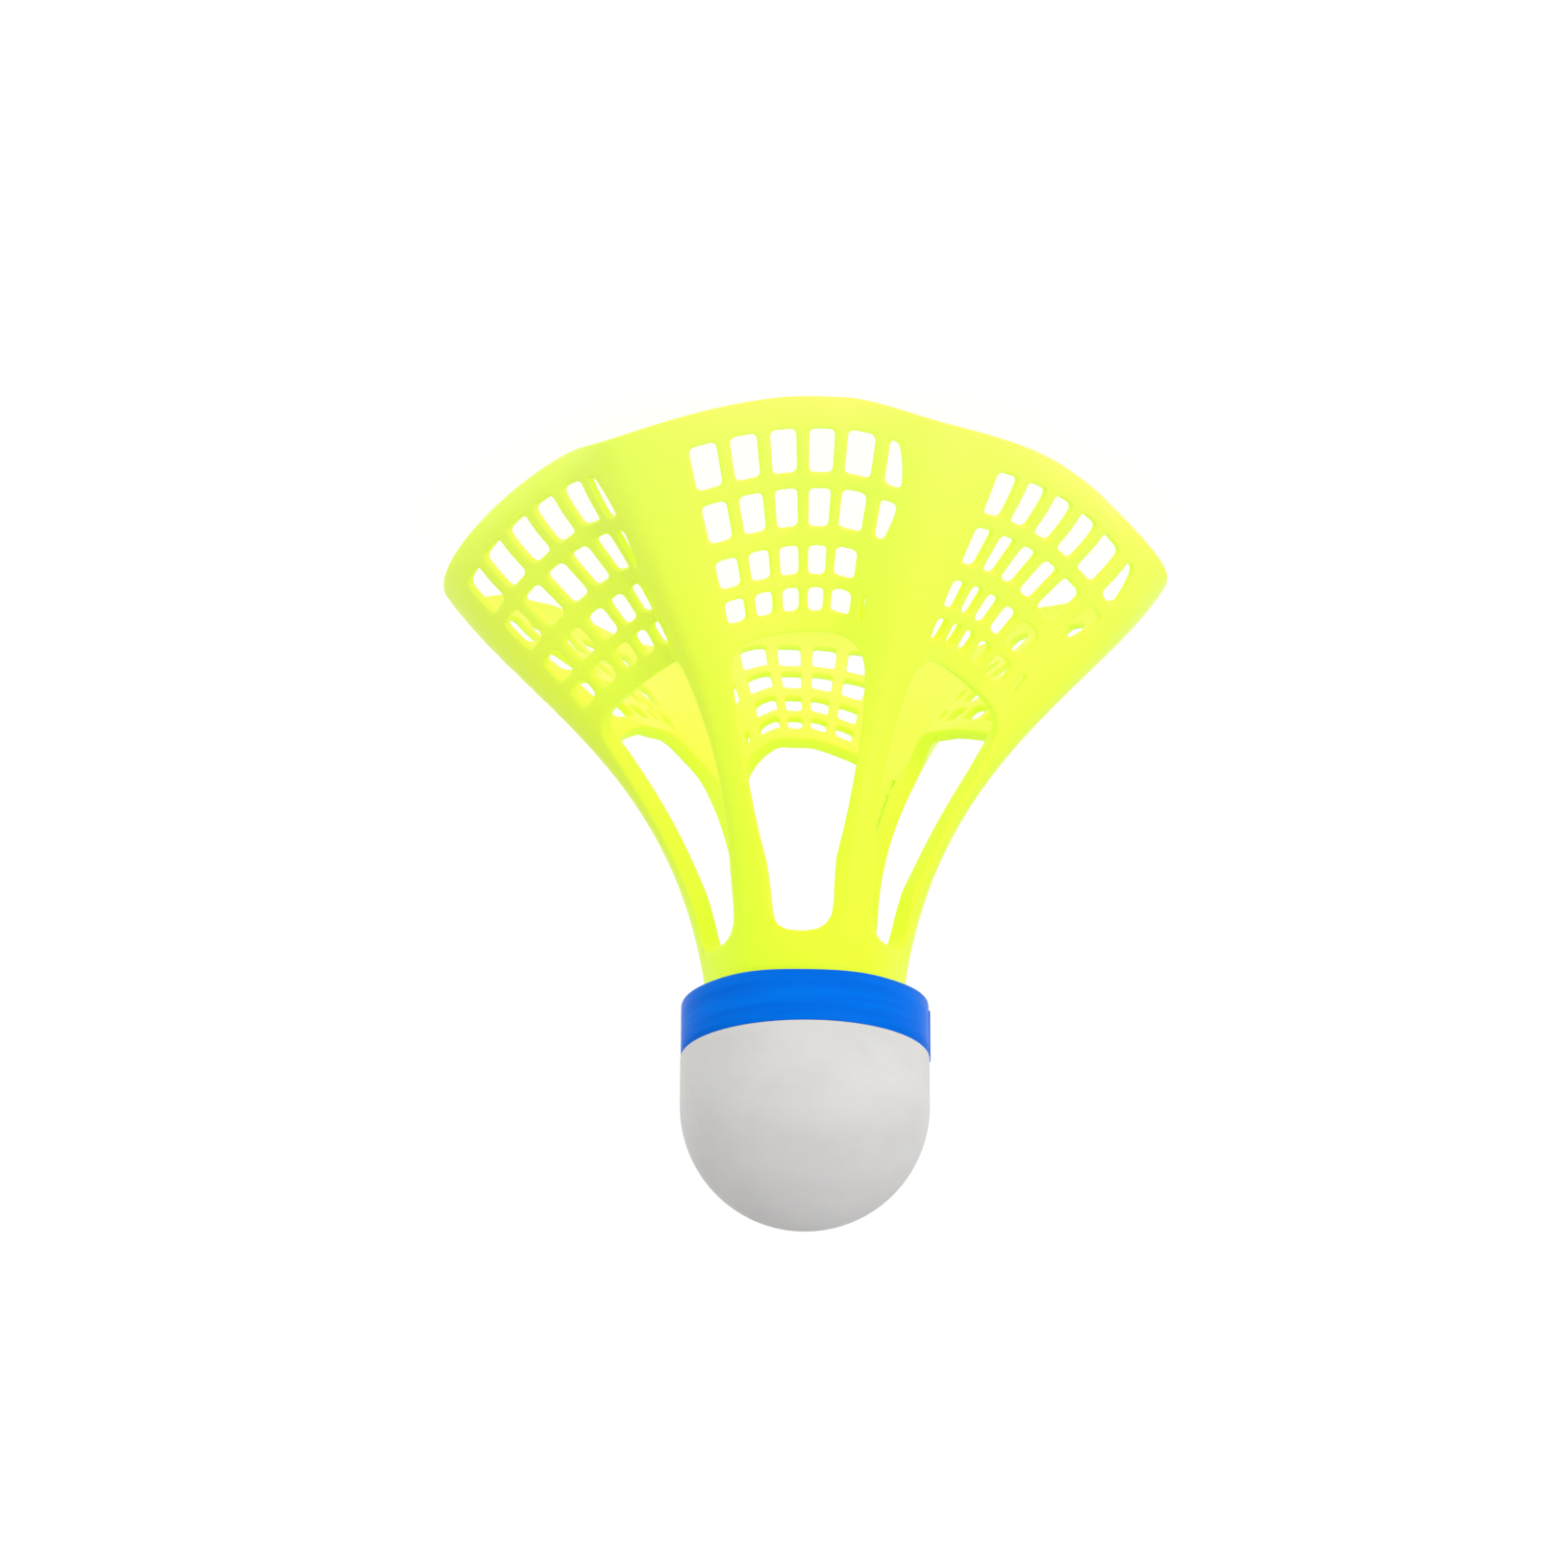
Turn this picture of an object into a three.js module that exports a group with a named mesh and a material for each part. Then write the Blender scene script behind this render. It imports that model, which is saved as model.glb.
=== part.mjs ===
// Plastic badminton shuttlecock, standing on the rim of its skirt with the head up.
// Millimetres, +Z up. Z is the shuttlecock's own axis and z = 0 is the plane the rim rests on.
//
// The skirt is one moulding: a neck with a plug on its end, six stems, and a fluted fan whose ribs
// flare out further than the panels between them. The fan is sprung a little out of round: its
// sides are spread wider and stand higher than its front and back. The head is a foam core with a
// skin over it, and a band of tape holds the skin's edge.
import * as THREE from 'three';

// ---- driving dimensions ----
const HEIGHT = 77;
const HEAD_LENGTH = 23;
const HEAD_RADIUS = 12.5;
const BAND_HEIGHT = 5.5;
const NECK_RADIUS = 10;
const RIB_RIM_RADIUS = 32.6; // at the front and back, before the sides are spread
const PANEL_RIM_RADIUS = 29.3;
const RIB_RIM_LIFT = 2.9; // how far a rib's tip stays above the panels' tips
const SIDE_SPREAD = 5; // how much further out the rim is at the sides
const SIDE_LIFT = 5; // how much higher the rim is at the sides
const PANEL_COUNT = 6;
const GAP = 0.3; // between pieces that touch

// ---- skirt wall ----
const STEM_THICKNESS = 2;
const FAN_THICKNESS = 0.8;
const STEM_END = 30; // distances along the wall, from the neck
const FAN_START = 41;
const FLEX_START = 2; // where the wall starts to spring out of round
const FLEX_POWER = 1.1;
const SHOULDER = HEIGHT - HEAD_LENGTH;

// A panel's pattern is laid out in degrees round the axis, from one rib's crest to the next,
// going clockwise seen from the head's side.
const SECTOR = 360 / PANEL_COUNT;
const FIRST_CREST = 303.5;
const TROUGH = 39; // the flute is deepest nearer to the next rib than to this one
const CREST_POWER = 2.5;
const FLAT_SHARE = 0.04; // the flute's floor, cut level so that the petal's tip is flat
const BACK = 90; // azimuth of the back; the fan isn't spread or lifted there, nor at the front
const UNFLEXED_TURN = 14; // how far to each side of the front and back that holds

// ---- windows and mesh holes ----
const COLUMN_COUNT = 5;
const COLUMN_PITCH = 7.7;
const HOLE_ANGLE = 5.1;
const FIRST_HOLE = 11.35;
const SLIVER_START = FIRST_HOLE + COLUMN_COUNT * COLUMN_PITCH;
const SLIVER_MIN_ANGLE = 0.8;
const SLIVER_BULGE_ANGLE = 2.6; // how much wider the sliver is where it is widest
const SLIVER_MIDDLE = 50.6; // the bar between the two longest rows
const SLIVER_REACH = 6.5;
// A window's two edges: degrees that its stem is wider at the neck and narrower at its slimmest.
const FIRST_WINDOW_EDGE = { flare: 2.6, pinch: 3 };
const LAST_WINDOW_EDGE = { flare: 1, pinch: 4.5 };
const STEM_FLARE_FULL = 8;
const STEM_FLARE_END = 18;
const STEM_SLIMMEST = 24.5;
const STEM_PINCH_REACH = 12;
const WINDOW = { start: 4.7, end: 35, corner: 2.6 };
const STEM_STATIONS = [9, 12.5, 16, 20, 24.5, 29];
const ROWS = [
  { start: 37.1, end: 39.5, sliver: true },
  { start: 40.8, end: 43.8, sliver: false },
  { start: 45.7, end: 49.8, sliver: true },
  { start: 51.4, end: 56, sliver: true },
];

// ---- the end of the neck: a web across it, and a plug on the web that goes into the head ----
const WEB_THICKNESS = 1.4;
const WEB_RADIUS = NECK_RADIUS - STEM_THICKNESS;
const PLUG_RADIUS = 5;
const PLUG_END = SHOULDER + 6;

// ---- head ----
const SOCKET_RADIUS = PLUG_RADIUS + GAP;
const CORE_RADIUS = 11.6;
const SKIN_THICKNESS = HEAD_RADIUS - CORE_RADIUS - GAP;
const SKIN_EDGE_RADIUS = 12; // where the band lies over the skin
const BAND_RADIUS = 12.65;
const ROUND_STEPS = 48;
const NOSE_STEPS = 8;
const NOSE_CENTRE = HEIGHT - HEAD_RADIUS;

// ---- the two meridians that the wall is blended from ----
const meridian = (rimRadius, rimHeight, nearNeck, nearRim) => new THREE.CubicBezierCurve(
  new THREE.Vector2(NECK_RADIUS, SHOULDER),
  new THREE.Vector2(nearNeck.radius, SHOULDER - nearNeck.drop),
  new THREE.Vector2(nearRim.radius, SHOULDER - nearRim.drop),
  new THREE.Vector2(rimRadius, rimHeight),
);

const ribMeridian = meridian(
  RIB_RIM_RADIUS, RIB_RIM_LIFT, { radius: 11, drop: 27.5 }, { radius: 25, drop: 35.8 },
);
const panelMeridian = meridian(
  PANEL_RIM_RADIUS, 0, { radius: 8.4, drop: 44 }, { radius: 32, drop: 45 },
);
const WALL_LENGTH = panelMeridian.getLength();

const radians = THREE.MathUtils.degToRad;
const { clamp, smoothstep, lerp } = THREE.MathUtils;

/** 1 on a rib's crest, 0 along the level floor of the flute. */
function ribShare(angle) {
  const turn = ((angle % SECTOR) + SECTOR) % SECTOR;
  const way = turn < TROUGH ? turn / TROUGH : (SECTOR - turn) / (SECTOR - TROUGH);
  const share = Math.cos(Math.PI / 2 * way) ** CREST_POWER;
  return Math.max(0, (share - FLAT_SHARE) / (1 - FLAT_SHARE));
}

/** How much of the sides' spread and lift a place has: 1 on the rim halfway from front to back. */
function flexShare(distance, azimuth) {
  const sideways = THREE.MathUtils.radToDeg(Math.acos(Math.abs(Math.cos(radians(azimuth - BACK)))));
  const way = clamp((sideways - UNFLEXED_TURN) / (90 - UNFLEXED_TURN), 0, 1);
  const growth = clamp((distance - FLEX_START) / (WALL_LENGTH - FLEX_START), 0, 1);
  return growth ** FLEX_POWER * Math.sin(Math.PI / 2 * way) ** 2;
}

/** A point of the outer surface, by distance along the wall and angle from the first crest. */
function outerPoint(distance, angle) {
  const way = clamp(distance / WALL_LENGTH, 0, 1);
  const section = panelMeridian.getPointAt(way).lerp(ribMeridian.getPointAt(way), ribShare(angle));
  const flex = flexShare(distance, FIRST_CREST - angle);
  const azimuth = radians(FIRST_CREST - angle);
  section.x += SIDE_SPREAD * flex;
  section.y += SIDE_LIFT * flex;
  return new THREE.Vector3(
    section.x * Math.cos(azimuth), section.x * Math.sin(azimuth), section.y,
  );
}

function wallThickness(distance) {
  return lerp(STEM_THICKNESS, FAN_THICKNESS, smoothstep(distance, STEM_END, FAN_START));
}

/** The inner surface lies one wall thickness in along the outer surface's normal. */
function innerPoint(distance, angle) {
  const step = 0.2;
  const alongWall = outerPoint(distance + step, angle).sub(outerPoint(distance - step, angle));
  const around = outerPoint(distance, angle + step).sub(outerPoint(distance, angle - step));
  const outward = new THREE.Vector3().crossVectors(around, alongWall).normalize();
  return outerPoint(distance, angle).addScaledVector(outward, -wallThickness(distance));
}

/** At the rim the edge is cut level, so it is a flat face. */
function rimPoint(angle) {
  const edge = outerPoint(WALL_LENGTH, angle);
  const radius = Math.hypot(edge.x, edge.y);
  const inward = (radius - FAN_THICKNESS) / radius;
  return new THREE.Vector3(edge.x * inward, edge.y * inward, edge.z);
}

// ---- the wall as a grid of cells, some of them open ----

/** Degrees that a stem is wider on one side than the rib it runs into; less than 0 is narrower. */
function stemExtra(edge, distance) {
  const flare = 1 - smoothstep(distance, STEM_FLARE_FULL, STEM_FLARE_END);
  const away = (distance - STEM_SLIMMEST) / STEM_PINCH_REACH;
  return edge.flare * flare - edge.pinch * Math.max(0, 1 - away * away);
}

/** The sliver of a sixth column ends on a curve, widest at the bar between two rows. */
function sliverEnd(distance) {
  const away = (distance - SLIVER_MIDDLE) / SLIVER_REACH;
  const bulge = Math.max(0, 1 - away * away);
  return SLIVER_START + SLIVER_MIN_ANGLE + SLIVER_BULGE_ANGLE * bulge;
}

const LAST_EDGE = SLIVER_START + SLIVER_MIN_ANGLE;
const windowMiddle = (FIRST_HOLE + LAST_EDGE) / 2;
const windowHalf = (LAST_EDGE - FIRST_HOLE) / 2;

/** Grid lines along the wall: each gives its angle at a distance. */
const angleLines = [distance => FIRST_HOLE + stemExtra(FIRST_WINDOW_EDGE, distance)];
for (let column = 0; column < COLUMN_COUNT; column += 1) {
  const start = FIRST_HOLE + column * COLUMN_PITCH;
  if (column > 0) angleLines.push(() => start);
  angleLines.push(() => start + HOLE_ANGLE);
}
angleLines.push(() => SLIVER_START);
angleLines.push(distance => sliverEnd(distance) - stemExtra(LAST_WINDOW_EDGE, distance));
const WINDOW_LINES = angleLines.length;
const RIB_LINES = 3;
for (let line = 1; line <= RIB_LINES; line += 1) {
  const lastEdge = angleLines[WINDOW_LINES - 1];
  const nextEdge = distance => SECTOR + angleLines[0](distance);
  angleLines.push(distance => lerp(
    lastEdge(distance), nextEdge(distance), line / (RIB_LINES + 1),
  ));
}
const LINES_PER_SECTOR = angleLines.length;
const LINE_COUNT = LINES_PER_SECTOR * PANEL_COUNT;

/** How far a window's corner is rounded off at an angle: 0 in the middle, 1 on the stems. */
function cornerShare(line) {
  if (line >= WINDOW_LINES) return 1;
  const away = (angleLines[line](WINDOW.end) - windowMiddle) / windowHalf;
  return Math.min(1, Math.abs(away)) ** 4;
}

/** Grid lines round the wall: each gives its distance from the neck on a line. */
const distanceLines = [
  () => 0,
  line => WINDOW.start + WINDOW.corner * cornerShare(line),
  ...STEM_STATIONS.map(station => () => station),
  line => WINDOW.end - WINDOW.corner * cornerShare(line),
  ...ROWS.flatMap(row => [() => row.start, () => row.end]),
  () => WALL_LENGTH,
];
const WINDOW_FIRST_CELL = 1;
const WINDOW_LAST_CELL = STEM_STATIONS.length + 1;
const FIRST_ROW_CELL = WINDOW_LAST_CELL + 2;
const CELL_ROWS = distanceLines.length - 1;

function isOpen(cellRow, line) {
  const column = line % LINES_PER_SECTOR;
  if (column >= WINDOW_LINES - 1) return false;
  if (cellRow >= WINDOW_FIRST_CELL && cellRow <= WINDOW_LAST_CELL) return true;
  const rowNumber = (cellRow - FIRST_ROW_CELL) / 2;
  if (rowNumber < 0 || !Number.isInteger(rowNumber) || rowNumber >= ROWS.length) return false;
  const isSliver = column === WINDOW_LINES - 2;
  return isSliver ? ROWS[rowNumber].sliver : column % 2 === 0;
}

function ringPoint(radius, height, angle) {
  const azimuth = radians(FIRST_CREST - angle);
  return new THREE.Vector3(radius * Math.cos(azimuth), radius * Math.sin(azimuth), height);
}

/** Collects quads between named grid points into one closed BufferGeometry. */
class Shell {
  positions = [];
  indices = [];
  numbers = new Map();

  point(name, makePoint) {
    if (!this.numbers.has(name)) {
      this.numbers.set(name, this.positions.length / 3);
      this.positions.push(...makePoint().toArray());
    }
    return this.numbers.get(name);
  }

  triangle(a, b, c) {
    this.indices.push(a, b, c);
  }

  quad(a, b, c, d) {
    this.triangle(a, b, c);
    this.triangle(a, c, d);
  }

  geometry() {
    const geometry = new THREE.BufferGeometry();
    geometry.setAttribute('position', new THREE.Float32BufferAttribute(this.positions, 3));
    geometry.setIndex(this.indices);
    geometry.computeVertexNormals();
    return geometry;
  }
}

function skirtGeometry() {
  const shell = new Shell();
  const angleAt = (line, distance) => {
    const sector = Math.floor(line / LINES_PER_SECTOR);
    return sector * SECTOR + angleLines[line % LINES_PER_SECTOR](distance);
  };
  const place = (cellLine, line) => {
    const wrapped = line % LINE_COUNT;
    const distance = distanceLines[cellLine](wrapped % LINES_PER_SECTOR);
    return { wrapped, distance, angle: angleAt(wrapped, distance) };
  };
  const outer = (cellLine, line) => {
    const { wrapped, distance, angle } = place(cellLine, line);
    return shell.point(`outer ${cellLine} ${wrapped}`, () => outerPoint(distance, angle));
  };
  const inner = (cellLine, line) => {
    const { wrapped, distance, angle } = place(cellLine, line);
    return shell.point(`inner ${cellLine} ${wrapped}`, () => {
      if (cellLine === 0) return ringPoint(WEB_RADIUS, SHOULDER - WEB_THICKNESS, angle);
      return cellLine === CELL_ROWS ? rimPoint(angle) : innerPoint(distance, angle);
    });
  };

  const closed = (cellRow, line) => {
    const wrapped = (line + LINE_COUNT) % LINE_COUNT;
    return cellRow >= 0 && cellRow < CELL_ROWS && !isOpen(cellRow, wrapped);
  };
  for (let row = 0; row < CELL_ROWS; row += 1) {
    for (let line = 0; line < LINE_COUNT; line += 1) {
      if (!closed(row, line)) continue;
      const next = line + 1;
      shell.quad(outer(row, line), outer(row, next), outer(row + 1, next), outer(row + 1, line));
      shell.quad(inner(row, line), inner(row + 1, line), inner(row + 1, next), inner(row, next));
      if (row > 0 && !closed(row - 1, line)) {
        shell.quad(outer(row, next), outer(row, line), inner(row, line), inner(row, next));
      }
      if (!closed(row + 1, line)) {
        const below = row + 1;
        shell.quad(outer(below, line), outer(below, next), inner(below, next), inner(below, line));
      }
      if (!closed(row, line - 1)) {
        shell.quad(outer(row, line), outer(row + 1, line), inner(row + 1, line), inner(row, line));
      }
      if (!closed(row, next)) {
        shell.quad(inner(row, next), inner(row + 1, next), outer(row + 1, next), outer(row, next));
      }
    }
  }

  // The plug's rings, each joined to the one before, starting from the neck's end.
  const plugRings = [
    [PLUG_RADIUS, SHOULDER],
    [PLUG_RADIUS, PLUG_END],
  ];
  const plugPoint = (ring, line) => {
    if (ring < 0) return outer(0, line);
    const { wrapped, angle } = place(0, line);
    const [radius, height] = plugRings[ring];
    return shell.point(`plug ${ring} ${wrapped}`, () => ringPoint(radius, height, angle));
  };
  const lastRing = plugRings.length - 1;
  const plugCentre = shell.point('plug centre', () => ringPoint(0, PLUG_END, 0));
  const webCentre = shell.point('web centre', () => ringPoint(0, SHOULDER - WEB_THICKNESS, 0));
  for (let line = 0; line < LINE_COUNT; line += 1) {
    for (let ring = 0; ring <= lastRing; ring += 1) {
      shell.quad(
        plugPoint(ring - 1, line + 1), plugPoint(ring - 1, line),
        plugPoint(ring, line), plugPoint(ring, line + 1),
      );
    }
    shell.triangle(plugPoint(lastRing, line + 1), plugPoint(lastRing, line), plugCentre);
    shell.triangle(inner(0, line), inner(0, line + 1), webCentre);
  }
  return shell.geometry();
}

// ---- the head, turned about the axis ----

/** Turns a closed profile of [radius, height] points about Z. */
function turned(profile) {
  const points = profile.map(([radius, height]) => new THREE.Vector2(radius, height));
  return new THREE.LatheGeometry(points, ROUND_STEPS).rotateX(Math.PI / 2);
}

/** A quarter circle from the nose to the side of the head. */
function noseArc(radius) {
  return Array.from({ length: NOSE_STEPS + 1 }, (_, step) => {
    const turn = (Math.PI / 2) * (step / NOSE_STEPS);
    return [radius * Math.sin(turn), NOSE_CENTRE + radius * Math.cos(turn)];
  });
}

function headCoreGeometry() {
  const face = SHOULDER + GAP;
  const socketEnd = PLUG_END + GAP;
  return turned([
    [0, socketEnd], [SOCKET_RADIUS, socketEnd], [SOCKET_RADIUS, face], [CORE_RADIUS, face],
    ...noseArc(CORE_RADIUS).reverse(),
  ]);
}

function headSkinGeometry() {
  const edge = SHOULDER + GAP;
  const step = SHOULDER + BAND_HEIGHT + GAP;
  const innerRadius = HEAD_RADIUS - SKIN_THICKNESS;
  return turned([
    ...noseArc(innerRadius),
    [innerRadius, edge], [SKIN_EDGE_RADIUS, edge], [SKIN_EDGE_RADIUS, step], [HEAD_RADIUS, step],
    ...noseArc(HEAD_RADIUS).reverse(),
  ]);
}

function bandGeometry() {
  const top = SHOULDER + BAND_HEIGHT;
  const innerRadius = SKIN_EDGE_RADIUS + GAP;
  return turned([
    [innerRadius, SHOULDER], [BAND_RADIUS, SHOULDER], [BAND_RADIUS, top], [innerRadius, top],
    [innerRadius, SHOULDER],
  ]);
}

function piece(name, geometry, color, roughness) {
  const material = new THREE.MeshStandardMaterial({ color, roughness, metalness: 0 });
  const mesh = new THREE.Mesh(geometry, material);
  mesh.name = name;
  return mesh;
}

const shuttlecock = new THREE.Group();
shuttlecock.add(
  piece('skirt', skirtGeometry(), 0xe9fd4b, 0.4),
  piece('head_core', headCoreGeometry(), 0xe8e4dc, 0.9),
  piece('head_skin', headSkinGeometry(), 0xdedbd8, 0.6),
  piece('head_band', bandGeometry(), 0x0c79f0, 0.3),
);

export default shuttlecock;
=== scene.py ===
import math

import bpy
import numpy as np
from mathutils import Euler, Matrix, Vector
from mathutils.geometry import delaunay_2d_cdt


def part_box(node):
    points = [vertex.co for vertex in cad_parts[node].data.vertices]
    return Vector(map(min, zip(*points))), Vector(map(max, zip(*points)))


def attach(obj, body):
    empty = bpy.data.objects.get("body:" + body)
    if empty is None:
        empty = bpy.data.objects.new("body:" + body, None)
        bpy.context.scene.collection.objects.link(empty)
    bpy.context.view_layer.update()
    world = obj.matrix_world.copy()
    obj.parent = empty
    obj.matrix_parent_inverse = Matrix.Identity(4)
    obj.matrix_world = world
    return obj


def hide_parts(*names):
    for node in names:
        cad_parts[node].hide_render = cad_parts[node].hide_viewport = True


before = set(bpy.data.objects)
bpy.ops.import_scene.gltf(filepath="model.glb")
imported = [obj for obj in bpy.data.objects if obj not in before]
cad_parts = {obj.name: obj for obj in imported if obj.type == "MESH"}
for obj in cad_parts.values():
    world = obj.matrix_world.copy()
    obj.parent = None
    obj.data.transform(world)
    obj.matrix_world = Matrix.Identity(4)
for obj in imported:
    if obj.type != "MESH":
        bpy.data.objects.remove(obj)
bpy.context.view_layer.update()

MM = 0.001


# ---- sizes that the frame gives ----

def height_range(node):
    low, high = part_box(node)
    return low.z / MM, high.z / MM


def outer_radius(node):
    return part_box(node)[1].x / MM


BAND_LOW, BAND_HIGH = height_range("head_band")
HEAD_EDGE, HEIGHT = height_range("head_skin")
PLUG_END = height_range("skirt")[1]
HEAD_RADIUS = outer_radius("head_skin")
BAND_RADIUS = outer_radius("head_band")
SHOULDER = BAND_LOW

# ---- the skirt's own shape ----
# Angles are degrees from a rib's crest, and distances run along the wall from the neck.
NECK_RADIUS = 10.0
RIB_LINE = ((NECK_RADIUS, 0.0), (11.0, 27.5), (25.0, 35.8), (32.6, SHOULDER - 2.9))
PANEL_LINE = ((NECK_RADIUS, 0.0), (8.4, 44.0), (32.0, 45.0), (29.3, SHOULDER))
SECTORS = 6
SECTOR = 360.0 / SECTORS
FIRST_CREST = 303.5
TROUGH = 39.0
CREST_POWER = 2.5
FLAT_SHARE = 0.04

# The fan is sprung out of round: spread and lifted at the sides, but not at the front and back.
SIDE_SPREAD = 5.0
SIDE_LIFT = 5.0
FLEX_START = 2.0
FLEX_POWER = 1.1
BACK = 90.0
UNFLEXED_TURN = 14.0

STEM_THICKNESS = 2.0
FAN_THICKNESS = 0.8
STEM_END = 30.0
FAN_START = 41.0
WEB_THICKNESS = 1.4
PLUG_RADIUS = 5.0
PLUG_ROUNDING = 0.6

COLUMNS = 5
COLUMN_PITCH = 7.7
HOLE_ANGLE = 5.1
FIRST_HOLE = 11.35
SLIVER_START = FIRST_HOLE + COLUMNS * COLUMN_PITCH
SLIVER_MIN_ANGLE = 0.8
SLIVER_BULGE_ANGLE = 2.6
SLIVER_MIDDLE = 50.6
SLIVER_REACH = 6.5

# A window's two edges: degrees that its stem is wider at the neck and narrower at its slimmest.
FIRST_WINDOW_EDGE = {"flare": 2.6, "pinch": 3.0}
LAST_WINDOW_EDGE = {"flare": 1.0, "pinch": 4.5}
STEM_FLARE_FULL = 8.0
STEM_FLARE_END = 18.0
STEM_SLIMMEST = 24.5
STEM_PINCH_REACH = 12.0
WINDOW_START = 4.7
WINDOW_END = 35.0
WINDOW_NECK_CORNER = 3.2
WINDOW_FAN_CORNER = 2.4
ROWS = (
    {"start": 37.1, "end": 39.5, "sliver": True},
    {"start": 40.8, "end": 43.8, "sliver": False},
    {"start": 45.7, "end": 49.8, "sliver": True},
    {"start": 51.4, "end": 56.0, "sliver": True},
)
HOLE_CORNER = 0.65
EDGE_ROUNDING = 0.26

POINT_SPACING = 0.85
EDGE_SPACING = 0.5
CORNER_STEPS = 4
ROUNDING_STEPS = 3
SIDE_SAMPLES = 60  # along one side of an opening, before it is spaced out evenly
MOST_CUT = 0.46  # of a side's length, that a corner may take
ACROSS_COUNT = 42  # points on a sector's neck line and rim line
DOWN_COUNT = 68  # points on a sector's two borders
LEAST_APART = 0.55  # of the point spacing, between the grid and the lines
JOINED_SCALE = 1e4  # points nearer than about 1 / this, in millimetres, are joined


# ---- small helpers ----

def lerp(start, end, share):
    return start + (end - start) * share


def smoothstep(value, low, high):
    share = np.clip((value - low) / (high - low), 0.0, 1.0)
    return share * share * (3.0 - 2.0 * share)


def quadratic(start, control, end, steps):
    """The points of a quadratic curve after its start, the last one being its end."""
    shares = [(step + 1) / steps for step in range(steps)]
    return [
        start * (1 - t) ** 2 + control * 2 * t * (1 - t) + end * t ** 2
        for t in shares
    ]


def make_object(name, points, faces, smooth=True):
    """A mesh object from points in millimetres."""
    mesh = bpy.data.meshes.new(name)
    mesh.from_pydata([tuple(point * MM) for point in points], [], faces)
    mesh.validate()
    mesh.update()
    for polygon in mesh.polygons:
        polygon.use_smooth = smooth
    made = bpy.data.objects.new(name, mesh)
    bpy.context.scene.collection.objects.link(made)
    return made


# ---- the skirt's surfaces ----

class Meridian:
    """A cubic curve of radius and height, read by the share of its length."""

    SAMPLES = 2000

    def __init__(self, points):
        a, b, c, d = (np.array((radius, SHOULDER - drop)) for radius, drop in points)
        t = np.linspace(0.0, 1.0, self.SAMPLES)[:, None]
        self.curve = a * (1 - t) ** 3 + b * 3 * t * (1 - t) ** 2 + c * 3 * t ** 2 * (1 - t) + d * t ** 3
        steps = np.hypot(*np.diff(self.curve, axis=0).T)
        self.length = steps.sum()
        self.shares = np.append(0.0, steps.cumsum()) / self.length

    def at(self, share):
        return np.stack([np.interp(share, self.shares, self.curve[:, i]) for i in (0, 1)], -1)


RIB = Meridian(RIB_LINE)
PANEL = Meridian(PANEL_LINE)
WALL_LENGTH = PANEL.length


def rib_share(angle):
    """1 on a rib's crest, 0 along the level floor of the flute."""
    turn = np.mod(angle, SECTOR)
    way = np.where(turn < TROUGH, turn / TROUGH, (SECTOR - turn) / (SECTOR - TROUGH))
    share = np.cos(np.pi / 2 * way) ** CREST_POWER
    return np.maximum(0.0, (share - FLAT_SHARE) / (1 - FLAT_SHARE))


def flex_share(angle, distance):
    """How much of the sides' spread and lift a place has: 1 on the rim halfway from front to back."""
    sideways = np.degrees(np.arccos(np.abs(np.cos(np.radians(FIRST_CREST - angle - BACK)))))
    way = np.clip((sideways - UNFLEXED_TURN) / (90.0 - UNFLEXED_TURN), 0.0, 1.0)
    growth = np.clip((distance - FLEX_START) / (WALL_LENGTH - FLEX_START), 0.0, 1.0)
    return growth ** FLEX_POWER * np.sin(np.pi / 2 * way) ** 2


def outer_points(places):
    """Points of the outer surface, from rows of angle and distance."""
    angle, distance = places[:, 0], places[:, 1]
    share = np.clip(distance / WALL_LENGTH, 0.0, 1.0)
    weight = rib_share(angle)[:, None]
    section = lerp(PANEL.at(share), RIB.at(share), weight)
    flex = flex_share(angle, distance)
    azimuth = np.radians(FIRST_CREST - angle)
    radius = section[:, 0] + SIDE_SPREAD * flex
    height = section[:, 1] + SIDE_LIFT * flex
    return np.stack([radius * np.cos(azimuth), radius * np.sin(azimuth), height], -1)


def thickness(distance):
    return lerp(STEM_THICKNESS, FAN_THICKNESS, smoothstep(distance, STEM_END, FAN_START))


def inner_points(places):
    """The inner surface: one thickness in along the normal, and cut level at the rim."""
    step_angle = np.array((0.3, 0.0))
    step_distance = np.array((0.0, 0.3))
    around = outer_points(places + step_angle) - outer_points(places - step_angle)
    along = outer_points(places + step_distance) - outer_points(places - step_distance)
    outward = np.cross(around, along)
    outward /= np.linalg.norm(outward, axis=1)[:, None]
    wall = thickness(places[:, 1])[:, None]
    outside = outer_points(places)
    square = outside - outward * wall
    radial = outside * (1.0, 1.0, 0.0)
    radial /= np.linalg.norm(radial, axis=1)[:, None]
    level = outside - radial * wall
    rim = smoothstep(places[:, 1], WALL_LENGTH - 2 * FAN_THICKNESS, WALL_LENGTH)[:, None]
    return lerp(square, level, rim)


# ---- the skirt's outlines, in a sector laid out nearly flat ----

def degree_length(distance):
    """Millimetres that one degree spans, at a distance along the wall."""
    share = np.clip(distance / WALL_LENGTH, 0.0, 1.0)
    radius = (RIB.at(share)[..., 0] + PANEL.at(share)[..., 0]) / 2
    return np.radians(1.0) * radius


def to_flat(places):
    return np.stack([(places[:, 0] - SECTOR / 2) * degree_length(places[:, 1]), places[:, 1]], -1)


def from_flat(points):
    return np.stack([points[:, 0] / degree_length(points[:, 1]) + SECTOR / 2, points[:, 1]], -1)


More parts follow.
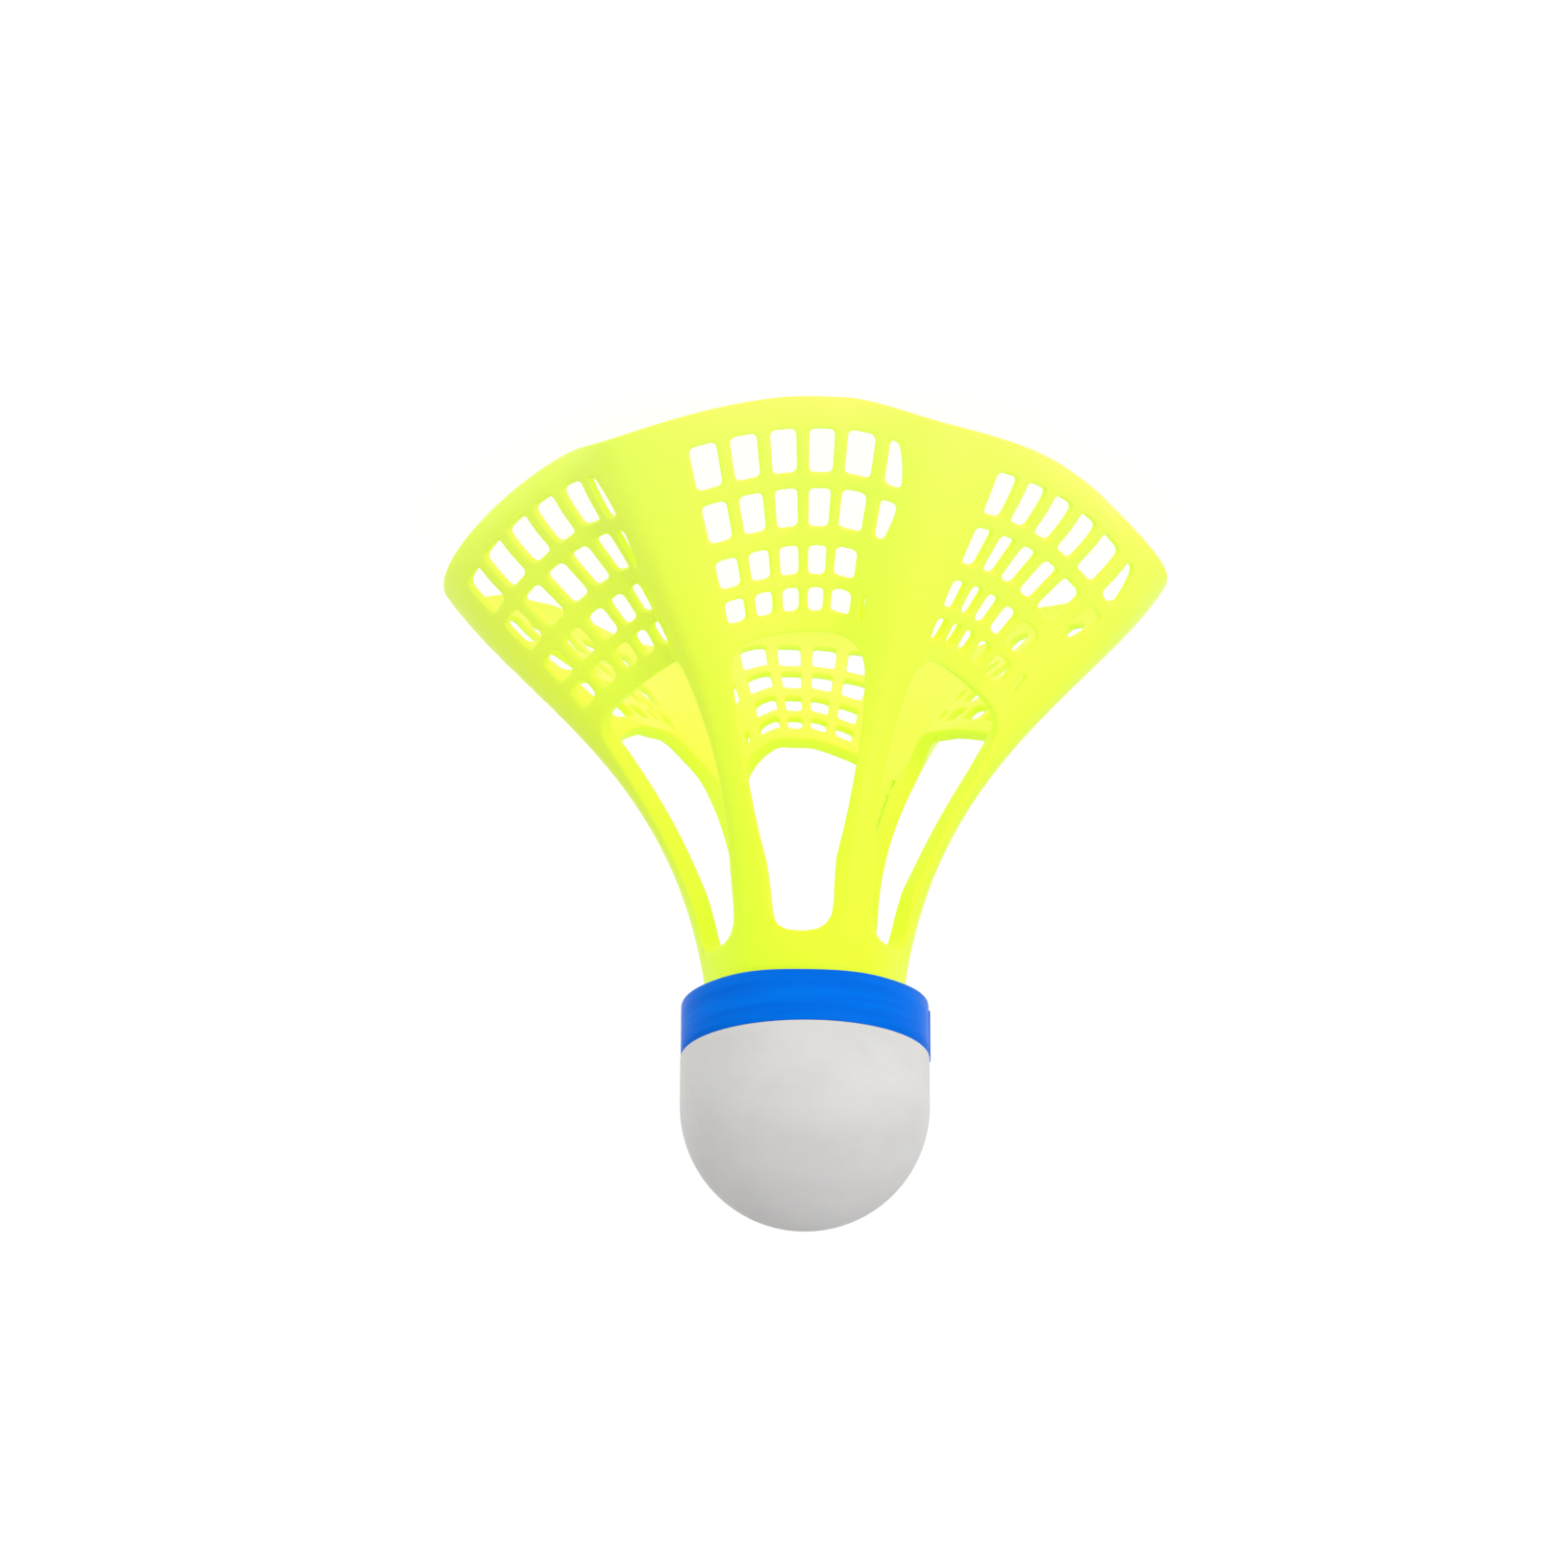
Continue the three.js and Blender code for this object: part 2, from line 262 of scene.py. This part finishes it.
def walk(side, start_cut, end_cut, spacing):
    """Evenly spaced flat points along one side, with a cut taken off each end."""
    shares = np.linspace(0.0, 1.0, SIDE_SAMPLES)
    line = to_flat(np.array([side(share) for share in shares]))
    lengths = np.append(0.0, np.hypot(*np.diff(line, axis=0).T).cumsum())
    most = MOST_CUT * lengths[-1]
    first = min(start_cut, most)
    last = lengths[-1] - min(end_cut, most)
    count = max(1, round((last - first) / spacing))
    at = np.linspace(first, last, count + 1)
    return np.stack([np.interp(at, lengths, line[:, i]) for i in (0, 1)], -1), line[-1]


def rounded_outline(sides, cuts):
    """A closed outline of sides whose corners are rounded off; cuts[i] is at the end of side i."""
    walks = [
        walk(side, cuts[i - 1], cuts[i], EDGE_SPACING) for i, side in enumerate(sides)
    ]
    outline = []
    for i, (line, corner) in enumerate(walks):
        outline.extend(line)
        following = walks[(i + 1) % len(walks)][0]
        outline.extend(quadratic(line[-1], corner, following[0], CORNER_STEPS)[:-1])
    return np.array(outline)


def grown(outline, amount):
    """The closed outline moved outwards."""
    ahead = np.roll(outline, -1, axis=0) - np.roll(outline, 1, axis=0)
    ahead /= np.linalg.norm(ahead, axis=1)[:, None]
    return outline + np.stack([ahead[:, 1], -ahead[:, 0]], -1) * amount


def stem_extra(edge, distance):
    """Degrees that a stem is wider on one side than the rib it runs into; less than 0 is narrower."""
    flare = 1.0 - float(smoothstep(distance, STEM_FLARE_FULL, STEM_FLARE_END))
    away = (distance - STEM_SLIMMEST) / STEM_PINCH_REACH
    return edge["flare"] * flare - edge["pinch"] * max(0.0, 1.0 - away * away)


def first_edge(distance):
    return FIRST_HOLE + stem_extra(FIRST_WINDOW_EDGE, distance)


def sliver_end(distance):
    away = (distance - SLIVER_MIDDLE) / SLIVER_REACH
    bulge = max(0.0, 1.0 - away * away)
    return SLIVER_START + SLIVER_MIN_ANGLE + SLIVER_BULGE_ANGLE * bulge


def last_edge(distance):
    return sliver_end(distance) - stem_extra(LAST_WINDOW_EDGE, distance)


def four_sides(low_angle, high_angle, start, end):
    """The sides of an opening between two edges and two distances, anticlockwise."""
    return (
        lambda t: (lerp(low_angle(start), high_angle(start), t), start),
        lambda t: (high_angle(lerp(start, end, t)), lerp(start, end, t)),
        lambda t: (lerp(high_angle(end), low_angle(end), t), end),
        lambda t: (low_angle(lerp(end, start, t)), lerp(end, start, t)),
    )


def window_outline():
    sides = four_sides(first_edge, last_edge, WINDOW_START, WINDOW_END)
    cuts = (WINDOW_NECK_CORNER, WINDOW_FAN_CORNER, WINDOW_FAN_CORNER, WINDOW_NECK_CORNER)
    return rounded_outline(sides, cuts)


def hole_outlines():
    outlines = []
    for row in ROWS:
        for column in range(COLUMNS):
            low = FIRST_HOLE + column * COLUMN_PITCH
            sides = four_sides(
                lambda d, low=low: low, lambda d, low=low: low + HOLE_ANGLE, row["start"], row["end"],
            )
            outlines.append(rounded_outline(sides, [HOLE_CORNER] * 4))
        if row["sliver"]:
            sides = four_sides(lambda d: SLIVER_START, sliver_end, row["start"], row["end"])
            outlines.append(rounded_outline(sides, [HOLE_CORNER] * 4))
    return outlines


def is_inside(points, outline):
    """Which points lie inside a closed outline."""
    inside = np.zeros(len(points), bool)
    for start, end in zip(outline, np.roll(outline, -1, axis=0)):
        crosses = (start[1] > points[:, 1]) != (end[1] > points[:, 1])
        if start[1] == end[1]:
            continue
        at = start[0] + (points[:, 1] - start[1]) * (end[0] - start[0]) / (end[1] - start[1])
        inside ^= crosses & (points[:, 0] < at)
    return inside


def sector_sheet(edges):
    """Triangles of one sector between its borders, without its openings.

    Gives the places of the points, the triangles, and the point numbers of the neck line, the
    rim line and each opening's edge."""
    rim = WALL_LENGTH - EDGE_ROUNDING
    across = np.linspace(0.0, SECTOR, ACROSS_COUNT)
    down = np.linspace(WEB_THICKNESS, rim, DOWN_COUNT)
    neck_line = np.stack([across, np.full_like(across, WEB_THICKNESS)], -1)
    rim_line = np.stack([across, np.full_like(across, rim)], -1)
    left_line = np.stack([np.zeros_like(down), down], -1)[1:-1]
    right_line = left_line + (SECTOR, 0.0)
    fixed = [to_flat(line) for line in (neck_line, rim_line, left_line, right_line)] + list(edges)
    near = np.concatenate(fixed)

    width = SECTOR / 2 * degree_length(rim)
    columns = np.arange(-width, width, POINT_SPACING)
    lines = np.arange(WEB_THICKNESS, rim, POINT_SPACING * math.sqrt(0.75))
    grid = np.array([
        (x + (i % 2) * POINT_SPACING / 2, y) for i, y in enumerate(lines) for x in columns
    ])
    angle = from_flat(grid)[:, 0]
    keep = (angle > 0.0) & (angle < SECTOR)
    for edge in edges:
        keep &= ~is_inside(grid, edge)
    grid = grid[keep]
    apart = np.array([np.hypot(*(near - point).T).min() for point in grid])
    grid = grid[apart > LEAST_APART * POINT_SPACING]

    points = np.concatenate(fixed + [grid])
    starts = np.cumsum([0] + [len(line) for line in fixed])
    links = []
    for start, line in zip(starts[4:], edges):
        count = len(line)
        links += [(int(start) + i, int(start) + (i + 1) % count) for i in range(count)]
    result = delaunay_2d_cdt([Vector(point) for point in points], links, [], 0, 1e-7)
    made = np.array([tuple(point) for point in result[0]])
    number = {old: new for new, olds in enumerate(result[3]) for old in olds}

    triangles = np.array([face for face in result[2] if len(face) == 3])
    centres = made[triangles].mean(axis=1)
    centre_angle = from_flat(centres)[:, 0]
    keep = (centre_angle > 0.0) & (centre_angle < SECTOR)
    for edge in edges:
        keep &= ~is_inside(centres, edge)
    triangles = triangles[keep]

    places = from_flat(made)
    numbers = [
        [number[int(start) + i] for i in range(len(line))]
        for start, line in zip(starts, fixed)
    ]
    for index, line in zip((0, 1), (neck_line, rim_line)):
        places[numbers[index]] = line
    for index, line in zip((2, 3), (left_line, right_line)):
        places[numbers[index]] = line
    return places, triangles, numbers[0], numbers[1], numbers[4:]


class Shell:
    """Gathers points, and the faces between them, from several patches."""

    def __init__(self):
        self.points = []
        self.faces = []

    def add(self, points):
        start = len(self.points)
        self.points.extend(points)
        return list(range(start, len(self.points)))

    def strip(self, first, second, closed):
        """Quads from one row of point numbers to the next."""
        count = len(first) if closed else len(first) - 1
        for i in range(count):
            j = (i + 1) % len(first)
            self.faces.append((first[i], first[j], second[j], second[i]))

    def strips(self, rows, closed):
        for first, second in zip(rows, rows[1:]):
            self.strip(first, second, closed)


def edge_rows(edge, rounded_from):
    """Rows of points across the wall's edge, between its outer and inner sheets."""
    outer_edge, inner_edge = outer_points(edge), inner_points(edge)
    share = (EDGE_ROUNDING / thickness(edge[:, 1]))[:, None]
    outer_side = lerp(outer_edge, inner_edge, share)
    inner_side = lerp(inner_edge, outer_edge, share)
    first = quadratic(outer_points(rounded_from), outer_edge, outer_side, ROUNDING_STEPS)
    last = quadratic(inner_side, inner_edge, inner_points(rounded_from), ROUNDING_STEPS)
    return first + [inner_side] + last[:-1]


def turned_ring(places, radius, height):
    azimuth = np.radians(FIRST_CREST - places[:, 0])
    level = np.full_like(azimuth, height)
    return np.stack([radius * np.cos(azimuth), radius * np.sin(azimuth), level], -1)


def merged(points, faces):
    """Joins points that lie in one place, and drops faces that shrink to a line."""
    keys = {}
    number = []
    kept = []
    for point in points:
        key = tuple(int(round(value)) for value in point * JOINED_SCALE)
        if key not in keys:
            keys[key] = len(kept)
            kept.append(point)
        number.append(keys[key])
    joined = []
    for face in faces:
        corners = [number[corner] for corner in face]
        corners = [corner for i, corner in enumerate(corners) if corner != corners[i - 1]]
        if len(corners) > 2:
            joined.append(corners)
    return kept, joined


def build_skirt():
    outlines = [window_outline()] + hole_outlines()
    grown_outlines = [grown(outline, EDGE_ROUNDING) for outline in outlines]
    places, triangles, neck, rim, edges = sector_sheet(grown_outlines)
    neck = neck[::-1]
    shell = Shell()
    for sector in range(SECTORS):
        turn = np.array((sector * SECTOR, 0.0))
        outer = shell.add(outer_points(places + turn))
        inner = shell.add(inner_points(places + turn))
        for a, b, c in triangles:
            shell.faces.append((outer[a], outer[b], outer[c]))
            shell.faces.append((inner[a], inner[c], inner[b]))
        for outline, edge in zip(outlines, edges):
            rows = edge_rows(from_flat(outline) + turn, places[edge] + turn)
            numbers = [shell.add(row) for row in rows]
            ends = [[outer[i] for i in edge], [inner[i] for i in edge]]
            shell.strips([ends[0]] + numbers + [ends[1]], closed=True)

        rim_places = places[rim] + turn
        rim_edge = np.stack([rim_places[:, 0], np.full(len(rim), WALL_LENGTH)], -1)
        numbers = [shell.add(row) for row in edge_rows(rim_edge, rim_places)]
        ends = [[outer[i] for i in rim], [inner[i] for i in rim]]
        shell.strips([ends[0]] + numbers + [ends[1]], closed=False)

        neck_places = places[neck] + turn
        top = np.stack([neck_places[:, 0], np.zeros(len(neck))], -1)
        plug = [
            shell.add(outer_points(top)),
            shell.add(turned_ring(top, PLUG_RADIUS, SHOULDER)),
            shell.add(turned_ring(top, PLUG_RADIUS, PLUG_END - PLUG_ROUNDING)),
            shell.add(turned_ring(top, PLUG_RADIUS - PLUG_ROUNDING, PLUG_END)),
        ]
        shell.strips([[outer[i] for i in neck]] + plug, closed=False)
        plug_centre = shell.add([np.array((0.0, 0.0, PLUG_END))])[0]
        web_height = float(inner_points(places[neck])[:, 2].mean())
        web_centre = shell.add([np.array((0.0, 0.0, web_height))])[0]
        for first, second in zip(plug[-1], plug[-1][1:]):
            shell.faces.append((first, second, plug_centre))
        web = [inner[i] for i in neck]
        for first, second in zip(web, web[1:]):
            shell.faces.append((second, first, web_centre))
    points, faces = merged(shell.points, shell.faces)
    return make_object("skirt_moulding", points, faces)


# ---- the head ----

ROUND_STEPS = 160
ON_AXIS = 1e-6


def turned(name, profile, closed):
    """A body turned about the axis from points of radius and height.

    An open profile starts and ends on the axis."""
    shell = Shell()
    azimuths = np.linspace(0.0, 2 * np.pi, ROUND_STEPS, endpoint=False)
    rings = []
    for radius, height in profile:
        if radius < ON_AXIS:
            rings.append(shell.add([np.array((0.0, 0.0, height))]) * ROUND_STEPS)
            continue
        level = np.full_like(azimuths, height)
        ring = np.stack([radius * np.cos(azimuths), radius * np.sin(azimuths), level], -1)
        rings.append(shell.add(ring))
    shell.strips(rings + [rings[0]] if closed else rings, closed=True)
    points, faces = merged(shell.points, shell.faces)
    return make_object(name, points, faces)


def arc(centre_radius, centre_height, radius, start, end, steps):
    """Points of a circle's arc, with angles in degrees from the level direction."""
    angles = np.radians(np.linspace(start, end, steps + 1))
    return [
        (centre_radius + radius * math.cos(angle), centre_height + radius * math.sin(angle))
        for angle in angles
    ]


SKIN_THICKNESS = 0.6
SKIN_EDGE_RADIUS = 12.0
SKIN_STEP_ROUNDING = 0.15
SKIN_STEP_GAP = 0.02
SIDE_STEPS = 6
NOSE_STEPS = 48
INNER_NOSE_STEPS = 24
STEP_ROUNDING_STEPS = 5


def build_head_skin():
    nose = HEIGHT - HEAD_RADIUS
    inner = HEAD_RADIUS - SKIN_THICKNESS
    step = BAND_HIGH + SKIN_STEP_GAP
    corner = step + SKIN_STEP_ROUNDING
    inside = arc(0.0, nose, inner, 90, 0, INNER_NOSE_STEPS)
    inside[0] = (0.0, nose + inner)
    edge = [(inner, HEAD_EDGE), (SKIN_EDGE_RADIUS, HEAD_EDGE), (SKIN_EDGE_RADIUS, step)]
    outside = arc(
        HEAD_RADIUS - SKIN_STEP_ROUNDING, corner, SKIN_STEP_ROUNDING, -90, 0, STEP_ROUNDING_STEPS,
    )
    for share in range(1, SIDE_STEPS):
        outside.append((HEAD_RADIUS, lerp(corner, nose, share / SIDE_STEPS)))
    outside += arc(0.0, nose, HEAD_RADIUS, 0, 90, NOSE_STEPS)
    outside[-1] = (0.0, HEIGHT)
    return turned("head_skin_dome", inside + edge + outside, closed=False)


# The tape goes once round and a little more, so its end lies on its start.
TAPE_THICKNESS = 0.2
TAPE_LAP_ANGLE = 24.0
TAPE_END_ANGLE = 176.0
TAPE_ROUNDING = 0.06
TAPE_SWAY = 0.08
TAPE_STEPS = 240
TAPE_CLIMB_START = 354.0  # where the end climbs onto the start, in degrees wound
TAPE_CLIMB_END = 362.0


def build_band():
    """The tape: a strip wound once round the skin's edge, with its end lapped over its start."""
    turns = 360.0 + TAPE_LAP_ANGLE
    shell = Shell()
    base = BAND_RADIUS - 2 * TAPE_THICKNESS
    rows = []
    middle = (BAND_LOW + BAND_HIGH) / 2
    half = (BAND_HIGH - BAND_LOW) / 2
    for step in range(TAPE_STEPS + 1):
        turned_by = turns * step / TAPE_STEPS
        azimuth = math.radians(TAPE_END_ANGLE - turns + turned_by)
        climb = float(smoothstep(turned_by, TAPE_CLIMB_START, TAPE_CLIMB_END))
        radius = base + TAPE_THICKNESS * climb
        outside = radius + TAPE_THICKNESS
        sway = TAPE_SWAY * (math.sin(3 * azimuth + 0.7) + 0.5 * math.sin(7 * azimuth))
        low = middle - half + 2 * TAPE_SWAY + sway
        high = middle + half
        section = [
            (radius, low),
            (outside - TAPE_ROUNDING, low),
            (outside, low + TAPE_ROUNDING),
            (outside, lerp(low, high, 0.25)),
            (outside, lerp(low, high, 0.5)),
            (outside, lerp(low, high, 0.75)),
            (outside, high - TAPE_ROUNDING),
            (outside - TAPE_ROUNDING, high),
            (radius, high),
        ]
        rows.append(shell.add([
            np.array((r * math.cos(azimuth), r * math.sin(azimuth), z)) for r, z in section
        ]))
    for first, second in zip(rows, rows[1:]):
        shell.strip(second, first, closed=True)
    shell.faces.append(list(rows[0]))
    shell.faces.append(list(reversed(rows[-1])))
    faces = [list(reversed(face)) for face in shell.faces]
    return make_object("head_band_tape", shell.points, faces)


# ---- materials ----

def new_material(name, roughness):
    """A material with its node tree, its shader and the object's own coordinates."""
    material = bpy.data.materials.new(name)
    material.use_nodes = True
    nodes = material.node_tree.nodes
    shader = nodes["Principled BSDF"]
    shader.inputs["Roughness"].default_value = roughness
    coordinates = nodes.new("ShaderNodeTexCoord")
    return material, shader, coordinates.outputs["Object"]


def add_noise(material, vector, scale, detail=3.0, roughness=0.5):
    noise = material.node_tree.nodes.new("ShaderNodeTexNoise")
    noise.inputs["Scale"].default_value = scale
    noise.inputs["Detail"].default_value = detail
    noise.inputs["Roughness"].default_value = roughness
    material.node_tree.links.new(vector, noise.inputs["Vector"])
    return noise.outputs["Fac"]


def add_ramp(material, factor, stops):
    """Colours from a factor: stops are position and colour."""
    ramp = material.node_tree.nodes.new("ShaderNodeValToRGB")
    elements = ramp.color_ramp.elements
    for element, (position, color) in zip(elements, (stops[0], stops[-1])):
        element.position = position
        element.color = color
    for position, color in stops[1:-1]:
        elements.new(position).color = color
    material.node_tree.links.new(factor, ramp.inputs["Fac"])
    return ramp.outputs["Color"]


def add_bump(material, shader, height, strength, distance):
    bump = material.node_tree.nodes.new("ShaderNodeBump")
    bump.inputs["Strength"].default_value = strength
    bump.inputs["Distance"].default_value = distance
    material.node_tree.links.new(height, bump.inputs["Height"])
    material.node_tree.links.new(bump.outputs["Normal"], shader.inputs["Normal"])


def stretched(material, vector, scale):
    mapping = material.node_tree.nodes.new("ShaderNodeMapping")
    mapping.inputs["Scale"].default_value = scale
    material.node_tree.links.new(vector, mapping.inputs["Vector"])
    return mapping.outputs["Vector"]


def skirt_material():
    """Soft fluorescent plastic that lets some light through, with painted light in its colour: paler
    towards the thin rim, and a painted glow.
    """
    material, shader, position = new_material("fluorescent_plastic_painted_light", 0.42)
    links = material.node_tree.links
    separate = material.node_tree.nodes.new("ShaderNodeSeparateXYZ")
    links.new(position, separate.inputs["Vector"])
    height = material.node_tree.nodes.new("ShaderNodeMapRange")
    height.inputs["From Max"].default_value = SHOULDER * MM
    links.new(separate.outputs["Z"], height.inputs["Value"])
    # Painted light: the ramp by height makes the plastic paler towards the rim, where light comes
    # through the thin fan, and deeper yellow towards the neck, where it lies in shade.
    color = add_ramp(material, height.outputs["Result"], (
        (0.00, (0.84, 1.00, 0.150, 1.0)),
        (0.35, (0.87, 1.00, 0.078, 1.0)),
        (0.75, (0.80, 1.00, 0.038, 1.0)),
        (1.00, (0.81, 1.00, 0.022, 1.0)),
    ))
    links.new(color, shader.inputs["Base Color"])
    # Painted glow: the emission brightens the plastic by itself, though it is no lamp.
    shader.inputs["Emission Color"].default_value = (0.45, 1.0, 0.03, 1.0)
    shader.inputs["Emission Strength"].default_value = 0.16
    shader.inputs["Subsurface Weight"].default_value = 0.35
    shader.inputs["Subsurface Radius"].default_value = (1.0, 1.0, 0.5)
    shader.inputs["Subsurface Scale"].default_value = 0.0012
    shader.inputs["Specular IOR Level"].default_value = 0.25
    add_bump(material, shader, add_noise(material, position, 420.0), 0.05, 0.0002)
    return material


def skin_material():
    """Pale grey skin, a little cloudy towards the nose."""
    material, shader, position = new_material("pale_skin", 0.55)
    links = material.node_tree.links
    upwards = stretched(material, position, (1.0, 1.0, 1.6))
    cloud = add_noise(material, upwards, 130.0, detail=5.0, roughness=0.6)
    color = add_ramp(material, cloud, (
        (0.30, (0.685, 0.670, 0.662, 1.0)),
        (0.52, (0.720, 0.707, 0.700, 1.0)),
        (0.75, (0.745, 0.733, 0.727, 1.0)),
    ))
    links.new(color, shader.inputs["Base Color"])
    shader.inputs["Subsurface Weight"].default_value = 0.1
    shader.inputs["Subsurface Scale"].default_value = 0.0008
    add_bump(material, shader, add_noise(material, position, 900.0, detail=4.0), 0.12, 0.0002)
    return material


def tape_material():
    """Glossy blue tape, with faint lines along its length from being stretched."""
    material, shader, position = new_material("blue_tape", 0.32)
    links = material.node_tree.links
    lines = add_noise(material, stretched(material, position, (1.0, 1.0, 14.0)), 60.0, detail=2.0)
    color = add_ramp(material, lines, (
        (0.30, (0.000, 0.140, 0.77, 1.0)),
        (0.70, (0.000, 0.188, 0.90, 1.0)),
    ))
    links.new(color, shader.inputs["Base Color"])
    shader.inputs["Specular IOR Level"].default_value = 0.02
    add_bump(material, shader, lines, 0.15, 0.0003)
    return material


def foam_material():
    """Pale closed-cell foam."""
    material, shader, position = new_material("pale_foam", 0.9)
    cells = material.node_tree.nodes.new("ShaderNodeTexVoronoi")
    cells.inputs["Scale"].default_value = 1500.0
    material.node_tree.links.new(position, cells.inputs["Vector"])
    color = add_ramp(material, cells.outputs["Distance"], (
        (0.0, (0.66, 0.63, 0.57, 1.0)),
        (1.0, (0.82, 0.80, 0.75, 1.0)),
    ))
    material.node_tree.links.new(color, shader.inputs["Base Color"])
    add_bump(material, shader, cells.outputs["Distance"], 0.5, 0.0003)
    return material


def floor_material():
    """Plain pale floor, bright enough by itself to fade into the background."""
    material, shader, _ = new_material("pale_floor", 0.9)
    shader.inputs["Base Color"].default_value = (0.12, 0.12, 0.12, 1.0)
    shader.inputs["Specular IOR Level"].default_value = 0.0
    shader.inputs["Emission Color"].default_value = (1.0, 1.0, 0.98, 1.0)
    shader.inputs["Emission Strength"].default_value = 0.95
    return material


# ---- the studio ----

FLOOR_SIZE = 8.0
FLOOR_DROP = 0.00005
CAMERA_ELEVATION = 20.75
CAMERA_DISTANCE = 0.56
LOOK_HEIGHT = 31.7 * MM
SENSOR = 36.0
LENS = 126.0
SHIFT_X = -0.0133
SHIFT_Y = 0.0097
SIDE_LIGHT_PLACE = (-0.55, -0.75, 0.30)
SIDE_LIGHT_SIZE = 0.7
SIDE_LIGHT_POWER = 2.6
WORLD_STRENGTH = 0.6
WHITE = (1.0, 1.0, 1.0)


def build_floor():
    half = FLOOR_SIZE / 2 / MM
    drop = -FLOOR_DROP / MM
    square = ((-half, -half), (half, -half), (half, half), (-half, half))
    corners = [np.array((x, y, drop)) for x, y in square]
    floor = make_object("studio_floor", corners, [(0, 1, 2, 3)], smooth=False)
    floor.data.materials.append(floor_material())


def add_area_light(name, place, target, size, power, color):
    light = bpy.data.lights.new(name, "AREA")
    light.size = size
    light.energy = power
    light.color = color
    made = bpy.data.objects.new(name, light)
    made.location = place
    made.rotation_euler = (Vector(target) - Vector(place)).to_track_quat("-Z", "Y").to_euler()
    bpy.context.scene.collection.objects.link(made)


def build_lights():
    world = bpy.data.worlds.new("studio")
    bpy.context.scene.world = world
    world.use_nodes = True
    background = world.node_tree.nodes["Background"]
    background.inputs["Color"].default_value = (1.0, 1.0, 1.0, 1.0)
    background.inputs["Strength"].default_value = WORLD_STRENGTH
    centre = (0.0, 0.0, HEIGHT * MM / 2)
    add_area_light(
        "side_light", SIDE_LIGHT_PLACE, centre, SIDE_LIGHT_SIZE, SIDE_LIGHT_POWER, WHITE,
    )


def build_camera():
    """Seen from the head's side, with the camera upside down so that the head is at the bottom."""
    camera = bpy.data.cameras.new("camera")
    camera.sensor_width = SENSOR
    camera.lens = LENS
    camera.shift_x = SHIFT_X
    camera.shift_y = SHIFT_Y
    made = bpy.data.objects.new("camera", camera)
    tilt = math.radians(CAMERA_ELEVATION)
    made.location = (
        0.0, -CAMERA_DISTANCE * math.cos(tilt), LOOK_HEIGHT + CAMERA_DISTANCE * math.sin(tilt),
    )
    look = Euler((math.pi / 2 - tilt, 0.0, 0.0)).to_matrix()
    upside_down = Euler((0.0, 0.0, math.pi)).to_matrix()
    made.rotation_euler = (look @ upside_down).to_euler()
    bpy.context.scene.collection.objects.link(made)
    bpy.context.scene.camera = made


# ---- everything together ----

def place(piece, material, node, slot):
    """A visible piece that stands for a CAD node and moves with it."""
    piece.data.materials.append(material)
    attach(piece, "root")
    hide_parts(node)


build_camera()
build_lights()
build_floor()
place(build_skirt(), skirt_material(), "skirt", "skirt_plastic")
place(build_head_skin(), skin_material(), "head_skin", "head_skin")
place(build_band(), tape_material(), "head_band", "band_tape")

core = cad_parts["head_core"]
core.data.materials.clear()
core.data.materials.append(foam_material())

bpy.context.scene.view_settings.view_transform = "Standard"
